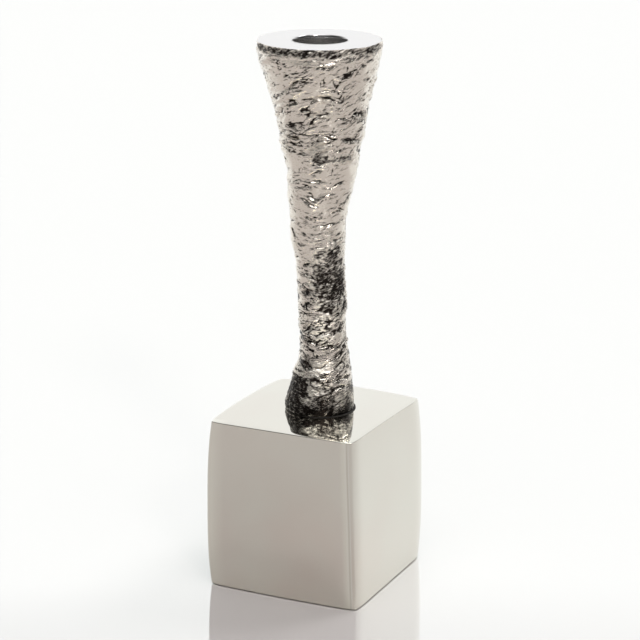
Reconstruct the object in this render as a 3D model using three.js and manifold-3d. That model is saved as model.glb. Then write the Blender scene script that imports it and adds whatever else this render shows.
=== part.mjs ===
// A cast aluminium candlestick, polished and nickel plated. A stem with a bark-like skin stands on a hollow,
// softly crowned cube. A stud, two washers and a nut inside the cube hold the stem down, and a plate with
// felt under it closes the cube. Millimetres, +Z up, origin on the table under the middle of the cube.

import * as THREE from "three";
import { mergeVertices } from "three/addons/utils/BufferGeometryUtils.js";
import Module from "manifold-3d";

const wasm = await Module();
wasm.setup();

// ---- Driving dimensions ----

const OVERALL_HEIGHT = 228;
const RUNNING_GAP = 0.3; // left between pieces that fit into each other
const OVERSHOOT = 1; // how far a cutter runs past the face it opens
const ROUND_SEGMENTS = 32;
const SMALL_SEGMENTS = 16;
const CORNER_SEGMENTS = 6; // in each corner of a slab
const SPRING_SEGMENTS = 24;

const CUBE = {
  underside: 0.4, // the rim clears the table by this much
  cornerHeight: 72.1,
  halfWidth: 32.6, // at its top corners
  spread: 0.6, // how much further out its bottom corners stand
  dome: 0.29, // rise of the top from an edge to its middle, along each axis
  edgeRadius: 1.4,
  cornerLean: 1, // the front right edge leans this far each way from upright
  gridSteps: 8, // across the plain part of a face
  edgeSteps: 2, // across a rounded edge
};

// How far each side face swells, across its width and up its height.
const CROWN = {
  right: { across: 0.35, up: 0.9 },
  left: { across: 1.6, up: 1.4 },
  front: { across: 1.15, up: 1.2 },
  back: { across: 2.7, up: 2.8 },
};

// Where the middle of the cube's plain block lies. The faces swell unevenly, so it is not the origin.
const BLOCK_AT = { x: 0.74, y: -1.56 };

// The core that hollows the cube is a plain straight block.
const CAVITY = { halfWidth: 27.4, corner: 4, ceiling: 67 };

// The stem stands a little off the middle of the block.
const STEM_AT = { x: 0.6, y: 2.5 };
const DRIFT_DIRECTION = new THREE.Vector2(0.9, 0.436); // the way the casting's axis wanders

// Height above the table, radius, and drift of the axis, from the foot up to the rim.
const STEM_STATIONS = [
  [72.9, 14.5, -0.1],
  [77, 14.2, 0],
  [84, 12.9, 0.7],
  [90, 11.9, 1.1],
  [94, 10.7, 1.5],
  [100, 10, 1.4],
  [108, 9.8, 1.1],
  [119, 10.3, 0.9],
  [128, 10.1, 0.4],
  [138, 10.2, -0.2],
  [146, 11.3, -0.8],
  [156, 11.7, -0.7],
  [164, 12.9, -0.2],
  [173, 14.1, 0.8],
  [184, 16.1, 0.6],
  [196, 18.5, 0.8],
  [208, 21.1, 0.1],
  [217, 23.8, 0],
  [222, 25, -0.3],
  [OVERALL_HEIGHT, 25.2, -0.2],
];
const STEM_ROUND = 36;
const STEM_RINGS = 57;
const ON_AXIS = 0.01; // a point nearer the axis than this stays on it

// The cast skin: folds that wind up the stem, so many to a turn and twisting by so much per mm of height, and
// wrinkles that wander as they run across them.
const FOLDS = [
  { count: 3, twist: 0.23, height: 0.13 },
  { count: 5, twist: -0.37, height: 0.11 },
];
const WRINKLES = { count: 2, twist: 0.05, wander: 1.6, perMm: 0.95, height: 0.18 };

const SOCKET = { radius: 11.25, depth: 25, chamfer: 0.4 };

const GASKET = { thickness: 0.3, radius: 14.5, hole: 5, offCentre: 0.5 };
const SEAT = { radius: 15.6, depth: 0.08 }; // spot-faced into the top of the dome

// M8 clamping set. The stud is drawn at its core and the holes at the full thread size.
const STUD = { core: 3.3, thread: 4, length: 42, chamfer: 0.6, inStem: 19 };
const STEM_HOLE_DEPTH = 22;
const CLEARANCE_HOLE = 4.5;
const BOSS = { radius: 12, drop: 9.1 }; // under the cube's top, where the washer bears
const PLAIN_WASHER = { inner: 4.2, outer: 8, thickness: 1.6 };
const SPRING_WASHER = { inner: 4.05, outer: 7.4, thickness: 2, slit: 1.5 };
const NUT = { acrossFlats: 13, height: 6.5 };

// Closing plate, its four M3 countersunk screws, and the felt.
const PLATE = { halfWidth: 28.6, thickness: 2, corner: 3 };
const FELT = { halfWidth: 28.2, thickness: 1.4, corner: 3.5 };
const SCREW = { at: 23.2, core: 1.2, thread: 1.5, head: 2.75, headHeight: 1.65, length: 10 };
const CROSS_RECESS = { length: 3, width: 0.7, depth: 0.9 };
const SCREW_POST = { centre: 28.5, radius: 10.5, height: 16 };
const POST_HOLE_DEPTH = 11;

const POINT_SLOPE = 0.6; // depth over radius of the cone that a drill leaves

// ---- Materials ----

const FINISHES = {
  stemNickel: { color: 0xd3cbc1, roughness: 0.28, metalness: 1 },
  cubeNickel: { color: 0xdedad2, roughness: 0.1, metalness: 1 },
  zincSteel: { color: 0xb4b6b8, roughness: 0.35, metalness: 1 },
  fibre: { color: 0x1c1a19, roughness: 0.85, metalness: 0 },
  felt: { color: 0x17171a, roughness: 1, metalness: 0 },
};

// ---- Helpers ----

function solid(geometry) {
  const bare = geometry.clone();
  bare.deleteAttribute("normal");
  bare.deleteAttribute("uv");
  const merged = mergeVertices(bare, 1e-4);
  return new wasm.Manifold(
    new wasm.Mesh({
      numProp: 3,
      vertProperties: merged.attributes.position.array,
      triVerts: new Uint32Array(merged.index.array),
    }),
  );
}

function named(name, shape, finish) {
  const { vertProperties, triVerts } = shape.getMesh();
  const geometry = new THREE.BufferGeometry();
  geometry.setAttribute("position", new THREE.BufferAttribute(vertProperties, 3));
  geometry.setIndex(new THREE.BufferAttribute(triVerts, 1));
  geometry.computeVertexNormals();
  const mesh = new THREE.Mesh(geometry, new THREE.MeshStandardMaterial(finish));
  mesh.name = name;
  return mesh;
}

// A solid turned about the Z axis, from an outline of [radius, height] pairs that runs up its outside.
function turned(outline, segments = ROUND_SEGMENTS) {
  const points = outline.map(([radius, height]) => new THREE.Vector2(radius, height));
  return solid(new THREE.LatheGeometry(points, segments).rotateX(Math.PI / 2));
}

function rod(radius, bottom, top, segments = ROUND_SEGMENTS) {
  return turned([[0, bottom], [radius, bottom], [radius, top], [0, top]], segments);
}

function washer(inner, outer, bottom, top) {
  return turned([[inner, bottom], [outer, bottom], [outer, top], [inner, top], [inner, bottom]]);
}

// A blind hole's cutter, drilled from below, with the cone that the drill's point leaves.
function drilledUp(radius, mouth, depth) {
  const start = mouth - OVERSHOOT;
  const end = mouth + depth;
  const point = end + radius * POINT_SLOPE;
  return turned([[0, start], [radius, start], [radius, end], [0, point]], SMALL_SEGMENTS);
}

function roundedSlab(halfWidth, corner, bottom, top) {
  const flat = halfWidth - corner;
  const outline = new THREE.Shape();
  outline.absarc(flat, flat, corner, 0, Math.PI / 2);
  outline.absarc(-flat, flat, corner, Math.PI / 2, Math.PI);
  outline.absarc(-flat, -flat, corner, Math.PI, 1.5 * Math.PI);
  outline.absarc(flat, -flat, corner, 1.5 * Math.PI, 2 * Math.PI);
  const options = { depth: top - bottom, bevelEnabled: false, curveSegments: CORNER_SEGMENTS };
  return solid(new THREE.ExtrudeGeometry(outline, options).translate(0, 0, bottom));
}

function movePoints(geometry, move) {
  const positions = geometry.attributes.position;
  const point = new THREE.Vector3();
  for (let i = 0; i < positions.count; i++) {
    point.fromBufferAttribute(positions, i);
    move(point, i);
    positions.setXYZ(i, point.x, point.y, point.z);
  }
  return geometry;
}

// ---- Levels, all worked out from the dimensions above ----

const SEAT_LEVEL = CUBE.cornerHeight + 2 * CUBE.dome - SEAT.depth;
const FOOT_LEVEL = SEAT_LEVEL + GASKET.thickness;
const SOCKET_FLOOR = OVERALL_HEIGHT - SOCKET.depth;
const PLATE_UNDERSIDE = FELT.thickness;
const LEDGE_LEVEL = PLATE_UNDERSIDE + PLATE.thickness;
const BOSS_LEVEL = SEAT_LEVEL - BOSS.drop;
const WASHER_LEVEL = BOSS_LEVEL - PLAIN_WASHER.thickness;
const SPRING_LEVEL = WASHER_LEVEL - SPRING_WASHER.thickness;
const NUT_LEVEL = SPRING_LEVEL - NUT.height;
const STUD_TOP = FOOT_LEVEL + STUD.inStem;

// ---- Stem ----

// How far the cast skin stands out at an angle round the stem and a height.
function barkRelief(angle, height) {
  const winding = ({ count, twist }) => Math.sin(count * angle + twist * height);
  const folds = FOLDS.reduce((sum, fold) => sum + fold.height * winding(fold), 0);
  const wandering = WRINKLES.perMm * height + WRINKLES.wander * winding(WRINKLES);
  return folds + WRINKLES.height * Math.sin(wandering);
}

function stemBlank() {
  const stations = STEM_STATIONS.map(([height, radius, drift]) => new THREE.Vector3(radius, height, drift));
  const rings = new THREE.CatmullRomCurve3(stations).getPoints(STEM_RINGS);
  const outline = [
    new THREE.Vector3(0, FOOT_LEVEL, rings[0].z),
    ...rings,
    new THREE.Vector3(0, OVERALL_HEIGHT, rings[STEM_RINGS].z),
  ];
  const lathed = new THREE.LatheGeometry(outline, STEM_ROUND).rotateX(Math.PI / 2);
  return movePoints(lathed, (point, i) => {
    const drift = outline[i % outline.length].z;
    const radius = Math.hypot(point.x, point.y);
    const angle = Math.atan2(point.y, point.x);
    const grown = radius > ON_AXIS ? 1 + barkRelief(angle, point.z) / radius : 1;
    point.x = point.x * grown + drift * DRIFT_DIRECTION.x;
    point.y = point.y * grown + drift * DRIFT_DIRECTION.y;
  });
}

function stem() {
  const { radius, chamfer } = SOCKET;
  const lip = OVERALL_HEIGHT - chamfer;
  const socket = turned([
    [0, SOCKET_FLOOR],
    [radius, SOCKET_FLOOR],
    [radius, lip],
    [radius + chamfer + OVERSHOOT, OVERALL_HEIGHT + OVERSHOOT],
    [0, OVERALL_HEIGHT + OVERSHOOT],
  ]);
  const threadedHole = drilledUp(STUD.thread, FOOT_LEVEL, STEM_HOLE_DEPTH);
  return solid(stemBlank()).subtract(socket).subtract(threadedHole);
}

// ---- Cube shell ----

// Grid lines on a face, as shares of its half width, with the rounded edge at each end.
function gridLine(step, edgeShare) {
  const { gridSteps, edgeSteps } = CUBE;
  const last = gridSteps + 2 * edgeSteps;
  const plain = 1 - edgeShare;
  const arc = (k) => plain + edgeShare * Math.tan((Math.PI / 4) * (k / edgeSteps));
  if (step < edgeSteps) return -arc(edgeSteps - step);
  if (step > last - edgeSteps) return arc(edgeSteps - last + step);
  return plain * ((2 * (step - edgeSteps)) / gridSteps - 1);
}

// A box with rounded edges, on a grid fine enough to be crowned.
function roundedBlock(half, edgeRadius) {
  const steps = CUBE.gridSteps + 2 * CUBE.edgeSteps;
  const box = new THREE.BoxGeometry(2, 2, 2, steps, steps, steps);
  const core = half.clone().subScalar(edgeRadius);
  return movePoints(box, (point) => {
    for (const axis of ["x", "y", "z"]) {
      const step = Math.round(((point[axis] + 1) / 2) * steps);
      point[axis] = half[axis] * gridLine(step, edgeRadius / half[axis]);
    }
    const inner = point.clone().clamp(core.clone().negate(), core);
    const outward = point.clone().sub(inner).setLength(edgeRadius);
    point.copy(inner).add(outward);
  });
}

// Swells a block with flat faces into the cube's pillow shape.
function crown(geometry) {
  const { halfWidth, underside, cornerHeight, spread, dome, cornerLean } = CUBE;
  const middle = (underside + cornerHeight) / 2;
  const halfHeight = (cornerHeight - underside) / 2;
  return movePoints(geometry, (point) => {
    const u = point.x / halfWidth;
    const v = point.y / halfWidth;
    const s = THREE.MathUtils.clamp((point.z - middle) / halfHeight, -1, 1);
    const upBow = 1 - Math.abs(s) ** 3;
    const outwards = (spread * (1 - s)) / 2;
    const sideX = u > 0 ? CROWN.right : CROWN.left;
    const sideY = v > 0 ? CROWN.back : CROWN.front;
    point.x += u * (outwards + sideX.across * (1 - v * v) + sideX.up * upBow);
    point.x -= (cornerLean * s * (1 + u) * (1 - v)) / 4;
    point.y += v * (outwards + sideY.across * (1 - u * u) + sideY.up * upBow);
    point.z += Math.max(s, 0) * dome * (2 - u * u - v * v);
  });
}

function cubeBlock() {
  const { halfWidth, underside, cornerHeight, edgeRadius } = CUBE;
  const half = new THREE.Vector3(halfWidth, halfWidth, (cornerHeight - underside) / 2);
  const block = roundedBlock(half, edgeRadius).translate(0, 0, (cornerHeight + underside) / 2);
  return solid(crown(block));
}

const cornerSigns = [[1, 1], [-1, 1], [-1, -1], [1, -1]];

function atScrews(shape, distance) {
  return cornerSigns.map(([x, y]) => shape.translate(x * distance, y * distance, 0));
}

function cubeShell() {
  let cavity = roundedSlab(CAVITY.halfWidth, CAVITY.corner, -OVERSHOOT, CAVITY.ceiling);
  const boss = rod(BOSS.radius, BOSS_LEVEL, CAVITY.ceiling + OVERSHOOT);
  cavity = cavity.subtract(boss.translate(STEM_AT.x, STEM_AT.y, 0));
  const post = rod(SCREW_POST.radius, -2 * OVERSHOOT, LEDGE_LEVEL + SCREW_POST.height);
  for (const corner of atScrews(post, SCREW_POST.centre)) cavity = cavity.subtract(corner);

  let shell = cubeBlock().subtract(cavity);
  const rebate = roundedSlab(PLATE.halfWidth + RUNNING_GAP, PLATE.corner, -OVERSHOOT, LEDGE_LEVEL);
  const seat = rod(SEAT.radius, SEAT_LEVEL, SEAT_LEVEL + OVERSHOOT);
  const through = rod(CLEARANCE_HOLE, BOSS_LEVEL - OVERSHOOT, SEAT_LEVEL + OVERSHOOT);
  shell = shell.subtract(rebate);
  shell = shell.subtract(seat.add(through).translate(STEM_AT.x, STEM_AT.y, 0));
  const hole = drilledUp(SCREW.thread, LEDGE_LEVEL, POST_HOLE_DEPTH);
  for (const corner of atScrews(hole, SCREW.at)) shell = shell.subtract(corner);
  return shell;
}

// ---- The clamping set, on the stem's axis ----

function gasket() {
  const ring = washer(GASKET.hole, GASKET.radius, SEAT_LEVEL, FOOT_LEVEL);
  const { x, y } = DRIFT_DIRECTION;
  return ring.translate(GASKET.offCentre * x, GASKET.offCentre * y, 0);
}

function tieStud() {
  const { core, chamfer, length } = STUD;
  const bottom = STUD_TOP - length;
  const end = core - chamfer;
  const outline = [
    [0, bottom],
    [end, bottom],
    [core, bottom + chamfer],
    [core, STUD_TOP - chamfer],
    [end, STUD_TOP],
    [0, STUD_TOP],
  ];
  return turned(outline, SMALL_SEGMENTS);
}

function plainWasher() {
  return washer(PLAIN_WASHER.inner, PLAIN_WASHER.outer, WASHER_LEVEL, BOSS_LEVEL);
}

// A ring cut through at one place, drawn pressed flat.
function springWasher() {
  const { inner, outer, thickness, slit } = SPRING_WASHER;
  const outerHalf = slit / 2 / outer;
  const innerHalf = slit / 2 / inner;
  const outline = new THREE.Shape();
  outline.absarc(0, 0, outer, outerHalf, 2 * Math.PI - outerHalf, false);
  outline.absarc(0, 0, inner, 2 * Math.PI - innerHalf, innerHalf, true);
  const options = { depth: thickness, bevelEnabled: false, curveSegments: SPRING_SEGMENTS };
  return solid(new THREE.ExtrudeGeometry(outline, options).translate(0, 0, SPRING_LEVEL));
}

function hexNut() {
  const { acrossFlats, height } = NUT;
  const corner = acrossFlats / Math.sqrt(3);
  const flat = acrossFlats / 2;
  const chamfer = (corner - flat) / 2;
  const prism = rod(corner, NUT_LEVEL, SPRING_LEVEL, 6);
  const dressed = turned([
    [0, NUT_LEVEL],
    [flat, NUT_LEVEL],
    [corner, NUT_LEVEL + chamfer],
    [corner, NUT_LEVEL + height - chamfer],
    [flat, SPRING_LEVEL],
    [0, SPRING_LEVEL],
  ]);
  const bore = rod(STUD.thread, NUT_LEVEL - OVERSHOOT, SPRING_LEVEL + OVERSHOOT);
  return prism.intersect(dressed).subtract(bore);
}

// ---- Closing plate, screws and felt ----

function countersunkHole() {
  const mouth = SCREW.head + RUNNING_GAP;
  const neck = SCREW.thread + RUNNING_GAP;
  const end = LEDGE_LEVEL + OVERSHOOT;
  const outline = [
    [0, PLATE_UNDERSIDE - OVERSHOOT],
    [mouth, PLATE_UNDERSIDE - OVERSHOOT],
    [mouth, PLATE_UNDERSIDE],
    [neck, PLATE_UNDERSIDE + SCREW.headHeight],
    [neck, end],
    [0, end],
  ];
  return turned(outline, SMALL_SEGMENTS);
}

function bottomPlate() {
  let plate = roundedSlab(PLATE.halfWidth, PLATE.corner, PLATE_UNDERSIDE, LEDGE_LEVEL);
  for (const hole of atScrews(countersunkHole(), SCREW.at)) plate = plate.subtract(hole);
  return plate;
}

// Head down, as it is driven up through the plate.
function screw() {
  const { core, head, headHeight } = SCREW;
  const neck = PLATE_UNDERSIDE + headHeight;
  const tip = PLATE_UNDERSIDE + SCREW.length;
  const outline = [[0, PLATE_UNDERSIDE], [head, PLATE_UNDERSIDE], [core, neck], [core, tip], [0, tip]];
  const blank = turned(outline, SMALL_SEGMENTS);
  const { length, width, depth } = CROSS_RECESS;
  const slot = (x, y) => solid(new THREE.BoxGeometry(x, y, 2 * depth).translate(0, 0, PLATE_UNDERSIDE));
  return blank.subtract(slot(length, width).add(slot(width, length)));
}

function feltPad() {
  return roundedSlab(FELT.halfWidth, FELT.corner, 0, PLATE_UNDERSIDE);
}

// ---- Assembly ----

const onStemAxis = new THREE.Group();
onStemAxis.position.set(STEM_AT.x, STEM_AT.y, 0);
onStemAxis.add(
  named("stem", stem(), FINISHES.stemNickel),
  named("foot_gasket", gasket(), FINISHES.fibre),
  named("tie_stud", tieStud(), FINISHES.zincSteel),
  named("plain_washer", plainWasher(), FINISHES.zincSteel),
  named("spring_washer", springWasher(), FINISHES.zincSteel),
  named("hex_nut", hexNut(), FINISHES.zincSteel),
);

const candlestick = new THREE.Group();
candlestick.position.set(BLOCK_AT.x, BLOCK_AT.y, 0);
candlestick.add(
  onStemAxis,
  named("cube_shell", cubeShell(), FINISHES.cubeNickel),
  named("bottom_plate", bottomPlate(), FINISHES.zincSteel),
  named("felt_pad", feltPad(), FINISHES.felt),
);
cornerSigns.forEach(([x, y], i) => {
  const mesh = named("plate_screw_" + (i + 1), screw(), FINISHES.zincSteel);
  mesh.position.set(x * SCREW.at, y * SCREW.at, 0);
  candlestick.add(mesh);
});

export default candlestick;
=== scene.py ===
import math

import bpy
import numpy as np
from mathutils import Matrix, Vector

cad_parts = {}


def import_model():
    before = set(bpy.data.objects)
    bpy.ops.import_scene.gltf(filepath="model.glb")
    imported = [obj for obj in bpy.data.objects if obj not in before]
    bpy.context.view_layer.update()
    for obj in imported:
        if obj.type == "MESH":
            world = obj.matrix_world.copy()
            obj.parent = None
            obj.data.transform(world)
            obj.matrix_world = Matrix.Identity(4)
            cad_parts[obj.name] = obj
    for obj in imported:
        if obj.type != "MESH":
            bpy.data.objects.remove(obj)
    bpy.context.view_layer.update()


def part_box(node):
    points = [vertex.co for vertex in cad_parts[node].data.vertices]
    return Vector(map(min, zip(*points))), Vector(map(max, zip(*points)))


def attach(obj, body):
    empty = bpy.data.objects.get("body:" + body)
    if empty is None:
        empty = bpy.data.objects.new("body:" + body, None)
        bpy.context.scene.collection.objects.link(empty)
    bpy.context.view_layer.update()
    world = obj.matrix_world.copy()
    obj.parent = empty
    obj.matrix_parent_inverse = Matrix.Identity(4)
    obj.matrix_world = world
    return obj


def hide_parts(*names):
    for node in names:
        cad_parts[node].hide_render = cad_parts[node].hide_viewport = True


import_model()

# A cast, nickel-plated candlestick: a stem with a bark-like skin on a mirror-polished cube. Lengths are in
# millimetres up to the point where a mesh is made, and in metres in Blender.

MM = 0.001
TURN = 2 * math.pi


# ---- The frame's levels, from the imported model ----

def limits(node):
    low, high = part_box(node)
    return np.array(low) / MM, np.array(high) / MM


STEM_LOW, STEM_HIGH = limits("stem")
GASKET_LOW, GASKET_HIGH = limits("foot_gasket")
SHELL_LOW, SHELL_HIGH = limits("cube_shell")
FELT_LOW, FELT_HIGH = limits("felt_pad")
PLATE_LOW, PLATE_HIGH = limits("bottom_plate")
STUD_LOW, STUD_HIGH = limits("tie_stud")

STEM_AXIS = (STUD_LOW + STUD_HIGH)[:2] / 2
BLOCK_AXIS = (PLATE_LOW + PLATE_HIGH)[:2] / 2
FOOT = STEM_LOW[2]
RIM = STEM_HIGH[2]


# ---- Noise ----

class Noise:
    """Smooth gradient noise over points in space, about -1 to 1, the same every run."""

    def __init__(self, seed):
        rng = np.random.default_rng(seed)
        self.order = rng.permutation(256)
        ways = rng.normal(size=(256, 3))
        self.ways = ways / np.linalg.norm(ways, axis=1)[:, None]

    def __call__(self, points):
        cell = np.floor(points).astype(int)
        t = points - cell
        blend = t * t * t * (t * (t * 6 - 15) + 10)
        total = np.zeros(points.shape[:-1])
        for corner in np.ndindex(2, 2, 2):
            c = (cell + corner) % 256
            index = self.order[(self.order[(self.order[c[..., 0]] + c[..., 1]) % 256] + c[..., 2]) % 256]
            weight = np.prod(np.where(corner, blend, 1 - blend), axis=-1)
            total += weight * np.einsum("...k,...k->...", self.ways[index], t - corner)
        return total * 1.5


def smooth(low, high, x):
    t = np.clip((x - low) / (high - low), 0, 1)
    return t * t * (3 - 2 * t)


# ---- Meshes ----

def mesh_piece(name, points, faces, material, shades=()):
    """An object from points in millimetres. shades are (name, values) attributes for its material."""
    mesh = bpy.data.meshes.new(name)
    mesh.from_pydata((np.asarray(points) * MM).tolist(), [], faces)
    for shade, values in shades:
        attribute = mesh.attributes.new(shade, "FLOAT", "POINT")
        attribute.data.foreach_set("value", np.asarray(values, np.float32))
    mesh.shade_smooth()
    mesh.materials.append(material)
    piece = bpy.data.objects.new(name, mesh)
    bpy.context.scene.collection.objects.link(piece)
    return piece


def loft(rings):
    """Points and faces of a closed skin through rings of points, from its first to its last, with both ends
    closed by a fan."""
    rows, around, _ = rings.shape
    points = np.vstack([rings.reshape(-1, 3), rings[0].mean(0), rings[-1].mean(0)])
    faces = []
    for i in range(rows - 1):
        a, b = i * around, (i + 1) * around
        faces += [(a + j, a + (j + 1) % around, b + (j + 1) % around, b + j) for j in range(around)]
    first, last = rows * around, rows * around + 1
    faces += [(first, (j + 1) % around, j) for j in range(around)]
    top = (rows - 1) * around
    faces += [(last, top + j, top + (j + 1) % around) for j in range(around)]
    return points, faces


# ---- Materials ----

def new_material(name):
    material = bpy.data.materials.new(name)
    material.use_nodes = True
    tree = material.node_tree
    return material, tree.nodes, tree.links, tree.nodes["Principled BSDF"]


def node(nodes, kind, **values):
    made = nodes.new(kind)
    for key, value in values.items():
        if key in made.inputs:
            made.inputs[key].default_value = value
        else:
            setattr(made, key, value)
    return made


COOL_NICKEL = (0.82, 0.815, 0.742, 1)
WARM_TONE_AND_PAINTED_REFLECTION = (0.79, 0.738, 0.67, 1)
# The middle of a painted darker, warmer reflection low on the front face, and how far from it it fades, both
# in mm.
PAINTED_REFLECTION_SPOT = (3, -37, 16)
PAINTED_REFLECTION_REACH = (47, 20)
PAINTED_EDGE_HIGHLIGHT = (0.93, 0.925, 0.84, 1)
PAINTED_DARK_LINE = (0.6, 0.59, 0.54, 1)
# Run of the front face's right edge (place at mid height, lean, bow), and the depths between which the front
# face begins. Then where the painted highlight fades in: by x on the left, and by distance from the right
# edge on the right, where it ends just short of that edge. Last, how far in the painted dark line lies, and
# where it fades.
PAINTED_EDGE_LIGHT = {"edge": 33.15 * MM, "lean": 1.3 * MM, "bow": 0.55 * MM, "front": (-30 * MM, -32 * MM),
          "left": (-25 * MM, -34 * MM), "right": (4.5 * MM, 1.2 * MM), "rightEnd": (0.1 * MM, 0.8 * MM),
          "line": 1.1 * MM, "lineFade": (0.55 * MM, 0.15 * MM)}
PAINTED_LINE_STRENGTH = 0.6
STEM_NICKEL = (0.93, 0.875, 0.785, 1)
GROUND_NICKEL = (0.84, 0.835, 0.83, 1)
# The dark the stem is taken to: patina in its hollows and rough places, and painted shade and dark
# reflection.
DARK_PATINA_AND_SHADE = (0.024, 0.019, 0.016, 1)


def ranged(nodes, links, value, low=0.0, high=1.0, start=0.0, end=1.0, **settings):
    """value, taken from low..high to start..end and held there."""
    span = node(nodes, "ShaderNodeMapRange", **settings)
    for key, number in (("From Min", low), ("From Max", high), ("To Min", start), ("To Max", end)):
        span.inputs[key].default_value = number
    links.new(value, span.inputs["Value"])
    return span.outputs["Result"]


def maths(nodes, links, operation, *values):
    """The result of one operation on values, which are numbers or other nodes' results."""
    made = node(nodes, "ShaderNodeMath", operation=operation)
    for socket, value in zip(made.inputs, values):
        if isinstance(value, (int, float)):
            socket.default_value = value
        else:
            links.new(value, socket)
    return made.outputs[0]


def mixed(nodes, links, share, under, over):
    """A colour that goes from under, a colour or another node's result, to the colour over."""
    mix = node(nodes, "ShaderNodeMix", data_type="RGBA")
    if isinstance(under, tuple):
        mix.inputs["A"].default_value = under
    else:
        links.new(under, mix.inputs["A"])
    mix.inputs["B"].default_value = over
    links.new(share, mix.inputs["Factor"])
    return mix.outputs["Result"]


def noise_texture(nodes, links, place, scale, detail, roughness=0.5):
    made = node(nodes, "ShaderNodeTexNoise", Scale=scale, Detail=detail, Roughness=roughness)
    links.new(place, made.inputs["Vector"])
    return made.outputs["Fac"]


def stem_material():
    material, nodes, links, shader = new_material("stem_nickel")
    shader.inputs["Metallic"].default_value = 1
    place = node(nodes, "ShaderNodeTexCoord").outputs["Object"]
    patina_and_shade, grain, ground, climb = (node(nodes, "ShaderNodeAttribute", attribute_name=name).outputs["Fac"]
                                   for name in ("patina_and_shade", "grain", "ground", "climb"))

    lift = node(nodes, "ShaderNodeVectorMath", operation="SCALE")
    lift.inputs[0].default_value = (0, 0, MM)
    links.new(climb, lift.inputs["Scale"])
    level = node(nodes, "ShaderNodeVectorMath", operation="SUBTRACT")
    links.new(place, level.inputs[0])
    links.new(lift.outputs["Vector"], level.inputs[1])
    flat = node(nodes, "ShaderNodeMapping")
    flat.inputs["Scale"].default_value = (0.6, 0.6, 1.7)
    links.new(level.outputs["Vector"], flat.inputs["Vector"])

    speckle = noise_texture(nodes, links, flat.outputs["Vector"], 1000.0, 4.0, 0.65)
    # The stem is darkened where its patina-and-painted-shade value beats a fine speckle.
    cover = ranged(nodes, links, maths(nodes, links, "SUBTRACT", patina_and_shade, speckle), -0.12, 0.14)
    metal = mixed(nodes, links, ground, STEM_NICKEL, GROUND_NICKEL)
    links.new(mixed(nodes, links, cover, metal, DARK_PATINA_AND_SHADE), shader.inputs["Base Color"])
    links.new(ranged(nodes, links, grain, start=0.15, end=0.38), shader.inputs["Roughness"])

    fine = noise_texture(nodes, links, flat.outputs["Vector"], 700.0, 3.0, 0.6)
    amount = ranged(nodes, links, grain, start=0.34)
    rough = maths(nodes, links, "SUBTRACT", 1, ground)
    bump = node(nodes, "ShaderNodeBump", Distance=0.0008)
    links.new(maths(nodes, links, "MULTIPLY", amount, rough), bump.inputs["Strength"])
    links.new(fine, bump.inputs["Height"])
    links.new(bump.outputs["Normal"], shader.inputs["Normal"])
    return material


def front_margins(nodes, links, place):
    """Where the front face gets a painted highlight along its two upright edges, and the thin painted dark
    line beside its right edge."""
    apart = node(nodes, "ShaderNodeSeparateXYZ")
    links.new(place, apart.inputs[0])
    x, y, z = apart.outputs
    s = ranged(nodes, links, z, SHELL_LOW[2] * MM, CUBE_TOP * MM, -1, 1)
    bend = maths(nodes, links, "MULTIPLY_ADD", s, -PAINTED_EDGE_LIGHT["bow"], -PAINTED_EDGE_LIGHT["lean"])
    edge = maths(nodes, links, "MULTIPLY_ADD", s, bend, PAINTED_EDGE_LIGHT["edge"])
    inward = maths(nodes, links, "SUBTRACT", edge, x)
    front = ranged(nodes, links, y, *PAINTED_EDGE_LIGHT["front"])
    left = ranged(nodes, links, x, *PAINTED_EDGE_LIGHT["left"])
    right = ranged(nodes, links, inward, *PAINTED_EDGE_LIGHT["right"])
    right = maths(nodes, links, "MULTIPLY", right, ranged(nodes, links, inward, *PAINTED_EDGE_LIGHT["rightEnd"]))
    painted_highlight = maths(nodes, links, "MULTIPLY", maths(nodes, links, "MAXIMUM", left, right), front)
    # The painted dark line, a little way in from the right edge.
    off = maths(nodes, links, "ABSOLUTE", maths(nodes, links, "SUBTRACT", inward, PAINTED_EDGE_LIGHT["line"]))
    faded = ranged(nodes, links, off, *PAINTED_EDGE_LIGHT["lineFade"], 0, PAINTED_LINE_STRENGTH)
    line = maths(nodes, links, "MULTIPLY", faded, front)
    return painted_highlight, line


def cube_material():
    material, nodes, links, shader = new_material("cube_nickel")
    shader.inputs["Metallic"].default_value = 1
    place = node(nodes, "ShaderNodeTexCoord").outputs["Object"]
    clouds = ranged(nodes, links, noise_texture(nodes, links, place, 28.0, 2.0), 0.35, 0.65, 0.2)
    away = node(nodes, "ShaderNodeVectorMath", operation="DISTANCE")
    away.inputs[1].default_value = [c * MM for c in PAINTED_REFLECTION_SPOT]
    links.new(place, away.inputs[0])
    # Random cloudy tone over the whole cube, strongest low on the front face, where it is a painted darker,
    # warmer reflection.
    near_painted_reflection = ranged(nodes, links, away.outputs["Value"], PAINTED_REFLECTION_REACH[0] * MM, PAINTED_REFLECTION_REACH[1] * MM, 0.4)
    tone = mixed(nodes, links, maths(nodes, links, "MULTIPLY", clouds, near_painted_reflection), COOL_NICKEL, WARM_TONE_AND_PAINTED_REFLECTION)
    # The front face's painted highlight along its upright edges, and its painted dark line by the right edge.
    for share, colour in zip(front_margins(nodes, links, place), (PAINTED_EDGE_HIGHLIGHT, PAINTED_DARK_LINE)):
        tone = mixed(nodes, links, share, tone, colour)
    links.new(tone, shader.inputs["Base Color"])
    haze = noise_texture(nodes, links, place, 90.0, 4.0)
    links.new(ranged(nodes, links, haze, start=0.03, end=0.09), shader.inputs["Roughness"])
    return material


# ---- Stem ----

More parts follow.
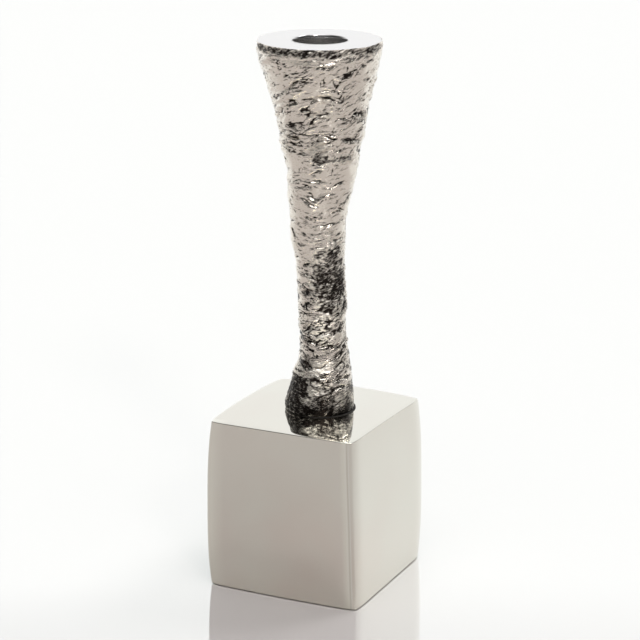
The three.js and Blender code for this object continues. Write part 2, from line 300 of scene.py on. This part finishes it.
# Height above the table, radius, and drift of the axis, from the foot up to the rim.
STEM_STATIONS = np.array([
    [FOOT, 14.5, -0.1], [77, 14.2, 0], [84, 12.9, 0.7], [90, 11.9, 1.1], [94, 10.7, 1.5],
    [100, 10, 1.4], [108, 9.8, 1.1], [119, 10.3, 0.9], [128, 10.1, 0.4], [138, 10.2, -0.2],
    [146, 11.3, -0.8], [156, 11.7, -0.7], [164, 12.9, -0.2], [173, 14.1, 0.8], [184, 16.1, 0.6],
    [196, 18.5, 0.8], [208, 21.1, 0.1], [217, 23.8, 0], [222, 25, -0.3], [228, 25.2, -0.2],
])
DRIFT_DIRECTION = np.array([0.9, 0.436])
AROUND = 220
WALL_ROWS = 404
FRONT = math.radians(-64.2)  # the side of the stem that the camera looks at


def stem_line(height):
    """Radius and drift of the stem at each height, along a smooth curve through the stations."""
    stations = np.vstack([2 * STEM_STATIONS[0] - STEM_STATIONS[1], STEM_STATIONS,
                          2 * STEM_STATIONS[-1] - STEM_STATIONS[-2]])
    h = stations[:, 0]
    slope = (stations[2:] - stations[:-2]) / (h[2:] - h[:-2])[:, None]
    i = np.clip(np.searchsorted(STEM_STATIONS[:, 0], height, side="right") - 1, 0, len(STEM_STATIONS) - 2)
    span = (h[i + 2] - h[i + 1])[:, None]
    t = ((height - h[i + 1])[:, None]) / span
    a, b = stations[i + 1], stations[i + 2]
    made = ((2 * t**3 - 3 * t**2 + 1) * a + (t**3 - 2 * t**2 + t) * span * slope[i]
            + (-2 * t**3 + 3 * t**2) * b + (t**3 - t**2) * span * slope[i + 1])
    return made[:, 1], made[:, 2]


LUMPS, WARP, BEND, FOLDS, STRENGTH, GRAIN, EDGE = (Noise(seed) for seed in range(11, 18))

# Cuts in the skin: each runs from an angle and height to another, with its width and depth. Angles are in
# degrees round the stem from its front, positive to the right of someone who looks at it.
CUTS = np.array([
    [-17, 221.5, 10, 220.5, 1.2, 0.4], [-37, 216.5, -32, 217, 1, 0.5], [-32, 217, -22, 219, 0.8, 0.4],
    [-33, 211, -19, 215, 0.8, 0.45], [-18, 213.5, 3, 214, 0.6, 0.25], [39, 220.5, 47, 220, 0.8, 0.4],
    [46, 215, 58, 214.5, 0.8, 0.4], [33, 216, 44, 215, 0.6, 0.3], [1, 210, 8, 211.5, 0.8, 0.45],
    [17, 211, 25, 211.5, 1, 0.5], [-39, 206.5, -28, 206, 1.4, 0.6], [-22, 207, -4, 207.5, 1, 0.35],
    [-3, 208.5, 19, 207.5, 1.8, 0.6], [-24, 203, -16, 202, 1.6, 0.6], [-13, 201, 11, 201.5, 1.3, 0.5],
    [-6, 199.5, 7, 199, 0.9, 0.45], [39, 200.5, 66, 198.5, 1.2, 0.5], [52, 197.5, 79, 196, 1.2, 0.5],
    [18, 199, 33, 199.5, 0.6, 0.3], [-47, 195.5, -34, 195.5, 1.3, 0.6], [-51, 191.5, -33, 192, 1.3, 0.6],
    [-52, 188.5, -37, 189, 1.2, 0.5], [-34, 194.5, 11, 191, 0.9, 0.4], [-17, 191.5, -4, 192, 1.2, 0.4],
    [0, 191, 23, 190.5, 1, 0.6], [23, 190.5, 69, 188.5, 1.1, 0.7], [-42, 184, -24, 185.5, 0.8, 0.3],
    [-58, 174, -37, 174.5, 1, 0.4], [-55, 172, -38, 172.5, 0.8, 0.4], [-53, 170.5, -39, 171, 0.7, 0.4],
    [-21, 175.5, 2, 176.5, 0.9, 0.45], [-19, 172, 0, 172.5, 0.7, 0.4], [-34, 169, -12, 169, 0.7, 0.4],
    [16, 170.5, 44, 173.5, 0.9, 0.35], [-37, 165, -3, 163, 0.8, 0.4], [-25, 167, -11, 166.5, 0.7, 0.4],
    [39, 162.5, 86, 166, 0.8, 0.5], [39, 161.5, 57, 160, 1, 0.5], [23, 159.5, 57, 160.5, 0.7, 0.4],
    [-29, 157.5, -10, 157.5, 0.8, 0.35], [-10, 153.5, 47, 155, 0.9, 0.4], [42, 155, 73, 155, 1, 0.4],
    [-67, 151, -54, 147, 1, 0.5], [33, 147, 50, 147, 1, 0.4], [-36, 151, -25, 150.5, 0.7, 0.35],
    [-20, 144, 13, 144.5, 0.8, 0.35], [-46, 136, -21, 136.5, 1.4, 0.6], [-40, 133, -30, 132.5, 1, 0.5],
    [-52, 125, -23, 125.5, 1.8, 0.6], [-50, 119.5, -28, 120.5, 1.2, 0.5], [-49, 109.5, -28, 110, 1.5, 0.5],
    [-48, 103.5, -19, 104, 1.6, 0.6], [-47, 94, -26, 94, 1.2, 0.5], [-22, 93.5, 8, 95, 1, 0.6],
    [8, 95, 51, 100, 1, 0.6], [-12, 102.5, 38, 102.5, 1, 0.45], [53, 101, 60, 101, 1.4, 0.7],
    [47, 88, 66, 88.5, 1.2, 0.5], [-3, 87, 11, 83.5, 1.6, 0.5], [22, 88, 57, 87.5, 0.9, 0.45],
    [19, 84, 59, 83, 1.2, 0.6],
])
# Rounded wrinkles with sharp valleys between them: how wide, how tall and how deep each kind is.
WRINKLES = ((10, 3.2, 1.0), (5.4, 1.7, 0.6), (3, 1.0, 0.34))
# Rough places, darkened partly as unpolished patina and partly as painted dark reflection: angle and height
# of the middle, half width and half height, and strength.
ROUGH = np.array([
    [-66, 226.4, 8, 2, 1.1], [-40, 226.5, 9, 1.9, 1.1], [-12, 226.3, 9, 2, 1.15], [10, 226.1, 8, 2.1, 1.15],
    [35, 226.6, 9, 1.9, 1.05], [58, 226.4, 9, 2.2, 1.1], [-18, 222.8, 9, 1.2, 0.8],
    [0, 207.8, 6, 1.6, 0.6], [-5, 201, 7, 2, 0.6], [60, 199, 5, 2, 0.6], [-5, 187, 5, 4, 0.8],
    [-3, 182, 5, 2.6, 1.1], [30, 181.5, 9, 2, 0.9], [30, 142, 7, 2, 0.6], [26, 130, 10.5, 19, 1.12],
    [55, 128, 5, 9, 1.2], [10, 107, 8, 5, 0.6], [40, 94, 5, 2.5, 0.9], [-58, 82, 9, 10, 1.3],
    [-90, 80, 14, 7, 1.2], [5, 84, 5, 3, 0.6], [48, 79, 6, 4, 0.6], [-12, 93, 9, 3, 0.5],
])
UNSEEN = 78  # degrees from the front, past which chance places the cuts and rough places


def chance_marks():
    """All cuts and rough places: those in front, and those of the same kinds that chance places behind."""
    rng = np.random.default_rng(4)
    cuts, rough = [], []
    for _ in range(95):
        angle, height = rng.uniform(UNSEEN, 360 - UNSEEN), rng.uniform(FOOT + 6, RIM - 4)
        run = rng.uniform(8, 30)
        cuts.append([angle, height, angle + run, height + rng.normal(0, 1.2),
                     rng.uniform(0.7, 1.5), rng.uniform(0.3, 0.65)])
    for _ in range(9):
        rough.append([rng.uniform(UNSEEN, 360 - UNSEEN), rng.uniform(FOOT + 10, RIM - 10),
                      rng.uniform(4, 9), rng.uniform(2, 8), rng.uniform(0.5, 1)])
    for angle in range(95, 280, 20):
        rough.append([angle, RIM - 2, 9, rng.uniform(1.2, 2.6), rng.uniform(0.6, 0.9)])
        rough.append([angle, FOOT + 3, 9, rng.uniform(2.5, 5), rng.uniform(0.7, 1)])
    return np.vstack([CUTS, cuts]), np.vstack([ROUGH, rough])


def slant(points, angles, radius):
    """How high the run of the wrinkles has climbed. They rise to the right over the bell and on the right
    side, and fall a little to the right on the left side below it."""
    side = radius * np.sin(np.radians(angles))
    right = (side + np.hypot(side, 4)) / 2
    bell = smooth(176, 198, points[..., 2])
    return 0.4 * right + (0.6 * bell - 0.2) * (side - right)


def turned_from(angles, middle):
    """How far each angle, in degrees, is from middle, from -180 to 180."""
    return (angles - middle + 180) % 360 - 180


def bark(points, angles, radius):
    """How far the skin stands out at points on the plain stem, how far it is darkened (patina, and painted
    shade and dark reflection), how rough it is, and how far the run of its wrinkles has climbed. angles are
    in degrees from the front."""
    warp = WARP(points / np.array([5, 5, 3.5]))
    warped = points + np.array([0.4, 0.4, 1]) * (1.1 * warp + 2.2 * BEND(points / 11))[..., None]
    flow = warped.copy()
    climb = slant(points, angles, radius)
    flow[..., 2] -= climb
    height = points[..., 2]
    bell, low, ankle = smooth(170, 195, height), smooth(150, 132, height), smooth(91, 79, height)
    calm = (1 - 0.35 * smooth(104, 94, height)) * (1 - 0.65 * ankle)
    relief = 0.3 * LUMPS(points / 12)
    hollows = np.zeros(points.shape[:-1])
    for k, (wide, tall, depth) in enumerate(WRINKLES):
        cell = np.array([wide, wide, tall])
        strong = 0.35 + 0.65 * smooth(-0.3, 0.35, STRENGTH(flow / cell / 1.9 + 7 * k))
        strong = strong * (1 + 0.7 * bell + 0.35 * low) * calm
        fold = np.abs(FOLDS(flow / cell + 5 * k))
        relief = relief + depth * strong * (fold - 0.25)
        hollows = np.maximum(hollows, np.minimum(strong, 1) * smooth(0.17, 0, fold))

    jag = EDGE(points / np.array([1.8, 1.8, 1.2]))
    cuts, rough = chance_marks()
    streaks = smooth(-0.15, 0.3, GRAIN(warped / np.array([1.5, 1.5, 11])))
    # Painted dark reflection and shade in bands: below about 140 mm, over the bell and most on its front, on
    # the foot with streaks, at its very bottom, and below 110 mm; then a random mottled tarnish.
    tarnish_and_dark_reflection = 0.04 + 0.21 * low + 0.07 * bell + 0.1 * bell * smooth(35, 5, np.abs(angles + 14))
    tarnish_and_dark_reflection = tarnish_and_dark_reflection + ankle * (0.09 + 0.11 * streaks) + 0.08 * smooth(80, 76, height)
    tarnish_and_dark_reflection = tarnish_and_dark_reflection + 0.11 * smooth(110, 97, height)
    tarnish_and_dark_reflection = tarnish_and_dark_reflection + 0.35 * LUMPS(flow / np.array([8, 8, 3.5]) + 40)
    tarnish_and_dark_reflection = tarnish_and_dark_reflection + 0.3 * GRAIN(flow / np.array([4.5, 4.5, 1.2]) + 9)
    # Darker in the valleys of the folds: patina there, and painted shade.
    patina_and_shade = np.clip(tarnish_and_dark_reflection + 0.5 * smooth(0.4, 1, hollows), 0, 1)
    # Painted shade and dark reflection on the foot: it is pulled toward a fixed dark, darkest at its very
    # bottom.
    patina_and_shade = patina_and_shade + 0.6 * ankle * (0.56 + 0.14 * smooth(79, 75, height) - patina_and_shade)
    for start, bottom, end, top, width, depth in cuts:
        across = turned_from(angles, start) * math.pi / 180 * radius
        turn = (end - start) * math.pi / 180
        run = np.array([turn * np.interp((bottom + top) / 2, *stem_widths()), top - bottom])
        up = warped[..., 2] - bottom
        along = np.clip((across * run[0] + up * run[1]) / (run @ run), 0, 1)
        away = np.hypot(across - along * run[0], up - along * run[1])
        taper = np.sqrt(np.clip(1.15 - (2 * along - 1) ** 2, 0, 1))
        cut = np.exp(-(away / (0.45 * width * (1 + 0.6 * jag))) ** 2) * taper
        relief = relief - 1.3 * depth * cut
        # The cuts are darkened: patina in them, and painted shade.
        patina_and_shade = np.maximum(patina_and_shade, 0.75 * cut)

    patch = np.zeros(points.shape[:-1])
    for middle, level, wide, tall, strength in rough:
        away = np.hypot(turned_from(angles, middle) * math.pi / 180 * radius / wide, (height - level) / tall)
        patch = np.maximum(patch, strength * smooth(1.25, 0.55, away + 0.35 * jag + 0.3 * warp))
    grit = GRAIN(flow / np.array([1.5, 1.5, 0.9]))
    relief = relief + patch * (0.32 * grit - 0.1)
    # The rough places are darkened: partly unpolished patina, partly painted dark reflection.
    patina_and_shade = np.clip(np.maximum(patina_and_shade, patch * (0.54 - 0.15 * grit)), 0, 1)
    # A painted shade line along the foot's lower edge, where it sits on the gasket; the edge is also set in a
    # little.
    lip = smooth(0.6, 0.2, height - FOOT)
    relief = relief * (1 - lip) - 0.15 * lip
    patina_and_shade = np.maximum(patina_and_shade, lip)
    return relief, patina_and_shade, np.clip(patch + 0.5 * patina_and_shade, 0, 1), climb


def stem_widths():
    """The heights of the stations, and the radius at each."""
    return STEM_STATIONS[:, 0], STEM_STATIONS[:, 1]


SOCKET = {"radius": 11.25, "bevel": 0.15, "straight": RIM - 1.2, "floor": 203}
# The tapped hole in the foot: its radius, where its walls begin and end, and the drill's tip above them.
STUD_HOLE = {"radius": 4, "low": 84, "high": 95.1, "tip": 97}


def stem_piece():
    angles = np.arange(AROUND) / AROUND * TURN
    out = np.stack([np.cos(angles), np.sin(angles)], 1)
    heights = np.linspace(FOOT, RIM, WALL_ROWS)
    radius, drift = stem_line(heights)
    centre = drift[:, None] * DRIFT_DIRECTION
    plain = centre[:, None] + radius[:, None, None] * out
    plain = np.concatenate([plain, np.broadcast_to(heights[:, None, None], (WALL_ROWS, AROUND, 1))], 2)
    from_front = np.degrees(angles - FRONT)
    relief, patina_and_shade, grain, climb = bark(plain, from_front[None, :], radius[:, None])
    wall = plain.copy()
    wall[..., :2] += relief[..., None] * out

    def ring(radius, height):
        return level_ring(radius * out, height)

    def level_ring(flat, height):
        return np.concatenate([flat, np.full((AROUND, 1), height)], 1)

    outer, mouth = wall[-1, :, :2], (SOCKET["radius"] + SOCKET["bevel"]) * out
    top = [level_ring(outer * (1 - s) + mouth * s, RIM) for s in np.linspace(0.015, 1, 9)]
    socket = [ring(SOCKET["radius"], RIM - SOCKET["bevel"])]
    socket += [ring(SOCKET["radius"], h) for h in np.linspace(SOCKET["straight"], SOCKET["floor"], 24)]
    socket += [ring(r, SOCKET["floor"]) for r in (11, 7, 3)]
    base = wall[0, :, :2]
    foot = [level_ring(base * (1 - s) + STUD_HOLE["radius"] * out * s, FOOT) for s in (1, 0.6, 0.3, 0.02)]
    bore = [ring(1, STUD_HOLE["tip"])]
    bore += [ring(STUD_HOLE["radius"], h) for h in (STUD_HOLE["high"], STUD_HOLE["low"])]
    rings = np.array(bore + foot + list(wall) + top + socket)

    def spread(values, under, rim, inside):
        """values for the wall, with one value for each of the flat and drilled parts."""
        rows = [np.full((len(bore) + len(foot), AROUND), under), values,
                np.full((len(top) + 1, AROUND), rim), np.full((len(socket) - 1, AROUND), inside)]
        flat = np.concatenate(rows).ravel()
        return np.append(flat, [flat[0], flat[-1]])

    points, faces = loft(rings)
    points[:, :2] += STEM_AXIS
    # The flat and drilled parts take fixed values: the underside and bore a little darkening, the rim none,
    # the socket's inside a little painted shade.
    piece = mesh_piece("candle_stem", points, faces, stem_material(),
                       [("patina_and_shade", spread(patina_and_shade, 0.2, 0, 0.3)), ("grain", spread(grain, 0.2, 0, 0.3)),
                        ("ground", spread(0 * patina_and_shade, 0, 1, 0.9)), ("climb", spread(climb, 0, 0, 0))])
    piece.data.set_sharp_from_angle(angle=math.radians(60))
    return piece


# ---- Cube ----

CUBE = {"halfWidth": 33, "spread": 0.6, "dome": 0.29, "edge": 0.2, "lean": 1}
CROWN = {"right": (0, 0.55), "left": (1.2, 1.4), "front": (0.75, 1.2), "back": (2.3, 2.8)}
# How far the buffing has worn the faces down at their edges, and over what width.
WORN_SIDE = {"depth": 0.7, "width": 7}
WORN_TOP = {"depth": 0.14, "width": 2}
CUBE_TOP = 72.1
PLAIN_STEPS = 48
EDGE_STEPS = 4


def box_grid(half, edge):
    """Points and faces of a box with rounded edges, centred on the origin."""
    def line(h):
        arc = [h - edge + edge * math.tan(math.pi / 4 * k / EDGE_STEPS) for k in range(1, EDGE_STEPS + 1)]
        plain = (h - edge) * np.sin(np.linspace(-math.pi / 2, math.pi / 2, PLAIN_STEPS + 1))
        return np.concatenate([-np.array(arc[::-1]), plain, arc])

    lines = [line(h) for h in half]
    count = len(lines[0])
    found, points, faces = {}, [], []

    def corner(key):
        if key not in found:
            found[key] = len(points)
            points.append([lines[k][key[k]] for k in range(3)])
        return found[key]

    for axis in range(3):
        a, b = (axis + 1) % 3, (axis + 2) % 3
        for side in (0, count - 1):
            for i in range(count - 1):
                for j in range(count - 1):
                    face = []
                    for di, dj in ((0, 0), (1, 0), (1, 1), (0, 1)):
                        key = [0, 0, 0]
                        key[axis], key[a], key[b] = side, i + di, j + dj
                        face.append(corner(tuple(key)))
                    faces.append(face if side else face[::-1])
    points = np.array(points)
    core = np.array(half) - edge
    inner = np.clip(points, -core, core)
    outward = points - inner
    outward *= edge / np.linalg.norm(outward, axis=1)[:, None]
    return inner + outward, faces


def crown(points):
    low, high = SHELL_LOW[2], CUBE_TOP
    u, v = points[:, 0] / CUBE["halfWidth"], points[:, 1] / CUBE["halfWidth"]
    s = np.clip((points[:, 2] - (low + high) / 2) / ((high - low) / 2), -1, 1)
    bow = 1 - np.abs(s) ** 3
    outwards = CUBE["spread"] * (1 - s) / 2
    side = {name: np.array(values) for name, values in CROWN.items()}
    x = np.where(u[:, None] > 0, side["right"], side["left"])
    y = np.where(v[:, None] > 0, side["back"], side["front"])
    made = points.copy()
    made[:, 0] += u * (outwards + x[:, 0] * (1 - v * v) + x[:, 1] * bow)
    made[:, 0] -= CUBE["lean"] * s * (1 + u) * (1 - v) / 4
    made[:, 1] += v * (outwards + y[:, 0] * (1 - u * u) + y[:, 1] * bow)
    made[:, 2] += np.maximum(s, 0) * CUBE["dome"] * (2 - u * u - v * v)
    made[:, 0] -= u * worn(v, WORN_SIDE)
    made[:, 1] -= v * worn(u, WORN_SIDE)
    made[:, 2] -= np.maximum(s, 0) * np.maximum(worn(u, WORN_TOP), worn(v, WORN_TOP))
    return made


def worn(share, wear):
    band = wear["width"] / CUBE["halfWidth"]
    return wear["depth"] * np.clip((np.abs(share) - 1 + band) / band, 0, 1) ** 2


def slab_ring(half, corner, height, steps=10):
    """A ring of points round a square with rounded corners."""
    ring = []
    for k, (x, y) in enumerate(((1, 1), (-1, 1), (-1, -1), (1, -1))):
        for step in range(steps + 1):
            turn = (k + step / steps) * TURN / 4
            ring.append((x * (half - corner) + corner * math.cos(turn),
                         y * (half - corner) + corner * math.sin(turn), height))
    return ring


def slab(half, corner, low, high):
    points, faces = loft(np.array([slab_ring(half, corner, low), slab_ring(half, corner, high)]))
    points[:, :2] += BLOCK_AXIS
    return points, faces


def turned(outline, places, segments=64):
    """Points and faces of the same turned solid at each place. outline is (radius, height) pairs going up."""
    turns = np.arange(segments) / segments * TURN
    out = np.stack([np.cos(turns), np.sin(turns)], 1)
    rings = np.array([np.column_stack([r * out, np.full(segments, h)]) for r, h in outline])
    shape, shape_faces = loft(rings)
    points, faces = [], []
    for x, y in places:
        faces += [tuple(k + len(points) * len(shape) for k in face) for face in shape_faces]
        points.append(shape + np.array([x, y, 0]))
    return np.vstack(points), faces


def cut(body, points, faces):
    """Takes a solid away from body."""
    cutter = mesh_piece("cutter", points, faces, body.data.materials[0])
    boolean = body.modifiers.new("cut", "BOOLEAN")
    boolean.object, boolean.operation, boolean.solver = cutter, "DIFFERENCE", "EXACT"
    made = bpy.data.meshes.new_from_object(body.evaluated_get(bpy.context.evaluated_depsgraph_get()))
    body.modifiers.clear()
    made.name = body.data.name
    body.data = made
    bpy.data.objects.remove(cutter)


CAVITY = {"half": 27.4, "corner": 4, "ceiling": 67}
BOSS = {"radius": 12, "drop": 9.1}
POST = {"at": 28.5, "radius": 10.5, "top": 19.4}
SCREW_AT = 23.2
# Gaps round the plate and the gasket, the radius of the plate's corners and of the stud's clearance hole, and
# the screw's pilot hole with the top of its walls and its tip.
PLATE_GAP, PLATE_CORNER, GASKET_GAP = 0.3, 3, 0.6
STUD_CLEARANCE = 4.5
PILOT = {"radius": 1.5, "high": 14.4, "tip": 15.3}


def hollow(cube):
    """Opens the cube from below, as its core leaves it: a boss for the stud, a post in each corner for a
    screw, and a rebate for the plate."""
    seat = GASKET_LOW[2]
    below, above = SHELL_LOW[2] - 1, seat + 1
    corners = [(x, y) for x in (-1, 1) for y in (-1, 1)]
    posts = [BLOCK_AXIS + POST["at"] * np.array(c) for c in corners]
    screws = [BLOCK_AXIS + SCREW_AT * np.array(c) for c in corners]
    core = mesh_piece("core", *slab(CAVITY["half"], CAVITY["corner"], below, CAVITY["ceiling"]),
                      cube.data.materials[0])
    cut(core, *turned([(POST["radius"], below - 1), (POST["radius"], POST["top"])], posts))
    cut(core, *turned([(BOSS["radius"], seat - BOSS["drop"]), (BOSS["radius"], above)], [STEM_AXIS]))
    inside = np.array([v.co for v in core.data.vertices]) / MM
    inside_faces = [tuple(p.vertices) for p in core.data.polygons]
    bpy.data.objects.remove(core)
    cut(cube, inside, inside_faces)
    rebate = (PLATE_HIGH[0] - PLATE_LOW[0]) / 2 + PLATE_GAP
    cut(cube, *slab(rebate, PLATE_CORNER, below, PLATE_HIGH[2]))
    spot = (GASKET_HIGH[0] - GASKET_LOW[0]) / 2 + GASKET_GAP
    cut(cube, *turned([(STUD_CLEARANCE, seat - BOSS["drop"] - 1), (STUD_CLEARANCE, seat), (spot, seat),
                       (spot, above)], [STEM_AXIS]))
    cut(cube, *turned([(PILOT["radius"], PLATE_HIGH[2] - 1), (PILOT["radius"], PILOT["high"]),
                       (0.1, PILOT["tip"])], screws, 24))


def cube_piece():
    low, high = SHELL_LOW[2], CUBE_TOP
    half = (CUBE["halfWidth"], CUBE["halfWidth"], (high - low) / 2)
    points, faces = box_grid(half, CUBE["edge"])
    points[:, 2] += (high + low) / 2
    points = crown(points)
    points[:, :2] += BLOCK_AXIS
    cube = mesh_piece("polished_cube", points, faces, cube_material())
    hollow(cube)
    cube.data.shade_smooth()
    cube.data.set_sharp_from_angle(angle=math.radians(35))
    return cube


# ---- Small pieces ----

def speckled(name, colour, spots, scale, roughness, metallic=0.0):
    """A material whose colour and roughness wander between two values each, with a fine bump."""
    material, nodes, links, shader = new_material(name)
    shader.inputs["Metallic"].default_value = metallic
    place = node(nodes, "ShaderNodeTexCoord").outputs["Object"]
    grain = noise_texture(nodes, links, place, scale, 5.0, 0.6)
    links.new(mixed(nodes, links, grain, (*colour, 1), (*spots, 1)), shader.inputs["Base Color"])
    links.new(ranged(nodes, links, grain, 0, 1, *roughness), shader.inputs["Roughness"])
    bump = node(nodes, "ShaderNodeBump", Distance=0.0001, Strength=0.5)
    links.new(grain, bump.inputs["Height"])
    links.new(bump.outputs["Normal"], shader.inputs["Normal"])
    return material


def felt_piece():
    """A pad cut from pressed felt. Its cut edge is a little ragged and its lower side is worn soft."""
    rag = Noise(31)
    half, corner = (FELT_HIGH[0] - FELT_LOW[0]) / 2, 3.5
    low, high = FELT_LOW[2], FELT_HIGH[2]
    rings = []
    outline = [(20, low), (6, low), (0.35, low), (0.08, low + 0.3), (0.05, high - 0.25), (0.3, high),
               (6, high), (20, high)]
    for inset, level in outline:
        rings.append(slab_ring(half - inset, corner * (half - inset) / half, level))
    rings = np.array(rings)
    jitter = 0.14 * np.abs(rag(rings * 1.3))
    jitter[[0, 1, -2, -1]] = 0
    rings[..., :2] *= (1 - jitter / half)[..., None]
    points, faces = loft(rings)
    points[:, :2] += BLOCK_AXIS
    wool = speckled("base_felt", (0.008, 0.008, 0.009), (0.022, 0.022, 0.025), 2600.0, (0.92, 1.0))
    felt = mesh_piece("felt_base_pad", points, faces, wool)
    felt.data.materials[0].node_tree.nodes["Principled BSDF"].inputs["Sheen Weight"].default_value = 0.35
    return felt


def finish_cad_nodes():
    """Gives the frame's own hard pieces, which keep their shape, their finishes."""
    zinc = speckled("zinc_steel", (0.42, 0.43, 0.44), (0.58, 0.58, 0.57), 700.0, (0.22, 0.42), 1.0)
    fibre = speckled("gasket_fibre", (0.010, 0.009, 0.008), (0.03, 0.027, 0.024), 1800.0, (0.6, 0.9))
    screws = ["plate_screw_" + str(k) for k in range(1, 5)]
    for name in ["tie_stud", "plain_washer", "spring_washer", "hex_nut", "bottom_plate"] + screws:
        bpy.data.objects[name].material_slots[0].material = zinc
    bpy.data.objects["foot_gasket"].material_slots[0].material = fibre


# ---- Stage: floor, world, lights, camera ----

CAMERA_AZIMUTH = math.radians(25.83)
CAMERA_DISTANCE = 0.9718
CAMERA_HEIGHT = 0.3955
CAMERA_PITCH = math.radians(16.339)
BACK = Vector((-math.sin(CAMERA_AZIMUTH), math.cos(CAMERA_AZIMUTH), 0))


def floor_piece():
    material, nodes, links, shader = new_material("floor_white")
    nodes.remove(shader)
    matt = node(nodes, "ShaderNodeBsdfDiffuse")
    matt.inputs["Color"].default_value = (0.925, 0.865, 0.845, 1)
    gloss = node(nodes, "ShaderNodeBsdfAnisotropic", Roughness=0.04)
    facing = node(nodes, "ShaderNodeLayerWeight", Blend=0.5)
    shine = ranged(nodes, links, facing.outputs["Facing"], 0.4, 0.62)
    tint = node(nodes, "ShaderNodeVectorMath", operation="SCALE")
    tint.inputs[0].default_value = (0.92, 1, 1)
    links.new(shine, tint.inputs["Scale"])
    links.new(tint.outputs["Vector"], gloss.inputs["Color"])
    mix = node(nodes, "ShaderNodeMixShader")
    mix.inputs[0].default_value = 0.5
    links.new(matt.outputs[0], mix.inputs[1])
    links.new(gloss.outputs[0], mix.inputs[2])
    links.new(mix.outputs[0], nodes["Material Output"].inputs["Surface"])
    size = 6000
    points = [(-size, -size, 0), (size, -size, 0), (size, size, 0), (-size, size, 0)]
    floor = mesh_piece("floor", points, [(0, 1, 2, 3)], material)


def world():
    made = bpy.data.worlds.new("studio")
    bpy.context.scene.world = made
    made.use_nodes = True
    nodes, links = made.node_tree.nodes, made.node_tree.links
    way = node(nodes, "ShaderNodeTexCoord").outputs["Generated"]
    dot = node(nodes, "ShaderNodeVectorMath", operation="DOT_PRODUCT")
    links.new(way, dot.inputs[0])
    dot.inputs[1].default_value = BACK
    behind = ranged(nodes, links, dot.outputs["Value"], -0.05, 1.0, 0.05, interpolation_type="SMOOTHSTEP")
    up = node(nodes, "ShaderNodeVectorMath", operation="DOT_PRODUCT")
    links.new(way, up.inputs[0])
    up.inputs[1].default_value = (Vector((0, 0, 1)) - 0.33 * BACK).normalized()
    above = ranged(nodes, links, up.outputs["Value"], 0.82, 0.95, 0.0, 3.1, interpolation_type="SMOOTHSTEP")
    total = maths(nodes, links, "MAXIMUM", behind, above)
    links.new(total, nodes["Background"].inputs["Strength"])
    nodes["Background"].inputs["Color"].default_value = (1, 1, 1, 1)


def far_light(name, azimuth, elevation, width, strength, colour=(1, 1, 1)):
    """A round softbox so far away that it lights everything alike. Azimuth 0 is in front and 90 to the right;
    width is how wide it looks. All are in degrees."""
    data = bpy.data.lights.new(name, "SUN")
    data.angle = math.radians(width)
    data.energy = strength
    data.color = colour
    light = bpy.data.objects.new(name, data)
    a, e = math.radians(azimuth), math.radians(elevation)
    way = Vector((math.sin(a) * math.cos(e), -math.cos(a) * math.cos(e), math.sin(e)))
    light.rotation_euler = way.to_track_quat("Z", "Y").to_euler()
    bpy.context.scene.collection.objects.link(light)


def camera():
    data = bpy.data.cameras.new("camera")
    data.lens = 137.24
    data.sensor_width = 36
    data.clip_start, data.clip_end = 0.05, 50
    made = bpy.data.objects.new("camera", data)
    made.location = (STEM_AXIS[0] * MM - BACK.x * CAMERA_DISTANCE,
                     STEM_AXIS[1] * MM - BACK.y * CAMERA_DISTANCE, CAMERA_HEIGHT)
    made.rotation_euler = (math.pi / 2 - CAMERA_PITCH, 0, CAMERA_AZIMUTH)
    bpy.context.scene.collection.objects.link(made)
    bpy.context.scene.camera = made
    bpy.context.scene.view_settings.view_transform = "Standard"


# ---- Putting it together ----

camera()
world()
far_light("key", 149, 50, 24, 0.85)
far_light("lamp", 46, 34, 9, 0.34, (1, 0.93, 0.9))
floor_piece()

stem = stem_piece()
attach(stem, "root")
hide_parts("stem")

cube = cube_piece()
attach(cube, "root")
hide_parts("cube_shell")

felt = felt_piece()
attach(felt, "root")
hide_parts("felt_pad")
finish_cad_nodes()
